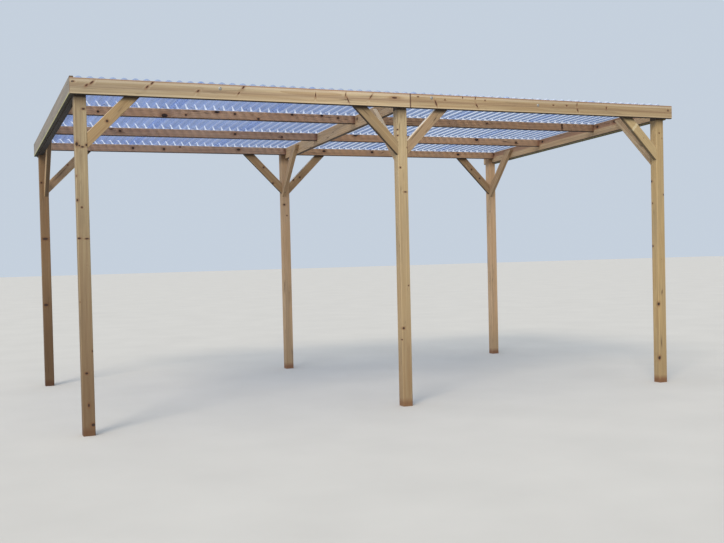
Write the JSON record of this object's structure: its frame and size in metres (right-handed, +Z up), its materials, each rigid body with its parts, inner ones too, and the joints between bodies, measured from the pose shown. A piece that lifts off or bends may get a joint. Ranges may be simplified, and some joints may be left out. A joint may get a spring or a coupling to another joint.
{
  "type": "timber carport",
  "caption": "Open timber carport: braced square posts, beams and purlins under a low single-slope roof of clear corrugated sheets. It shelters one car.",
  "frame": {"origin": "on the ground at the middle of the overall length and depth", "axes": "+X along the front beam to the right as seen from the front, +Y from the front to the back, +Z up"},
  "size_m": [5.068, 3.07, 2.435],
  "materials": {
    "treated_timber": "planed, weathered",
    "clear_sheet": "clear corrugated sheet"
  },
  "bodies": {
    "root": {"post_front_left": "treated_timber", "post_rear_left": "treated_timber", "cross_beam_left": "treated_timber", "brace_across_front_left": "treated_timber", "brace_across_rear_left": "treated_timber", "post_front_middle": "treated_timber", "post_rear_middle": "treated_timber", "cross_beam_middle": "treated_timber", "brace_across_front_middle": "treated_timber", "brace_across_rear_middle": "treated_timber", "post_front_right": "treated_timber", "post_rear_right": "treated_timber", "cross_beam_right": "treated_timber", "brace_across_front_right": "treated_timber", "brace_across_rear_right": "treated_timber", "front_beam_left": "treated_timber", "front_beam_right": "treated_timber", "fascia_left": "treated_timber", "fascia_right": "treated_timber", "purlin_1_left": "treated_timber", "purlin_2_left": "treated_timber", "rear_beam_left": "treated_timber", "purlin_1_right": "treated_timber", "purlin_2_right": "treated_timber", "rear_beam_right": "treated_timber", "brace_front_left_post": "treated_timber", "brace_front_middle_post_a": "treated_timber", "brace_front_middle_post_b": "treated_timber", "brace_front_right_post": "treated_timber", "brace_rear_left_post": "treated_timber", "brace_rear_middle_post_a": "treated_timber", "brace_rear_middle_post_b": "treated_timber", "brace_rear_right_post": "treated_timber", "roof_sheet_1": "clear_sheet", "roof_sheet_2": "clear_sheet", "roof_sheet_3": "clear_sheet", "roof_sheet_4": "clear_sheet", "roof_sheet_5": "clear_sheet", "roof_sheet_6": "clear_sheet"}
  },
  "joints": []
}
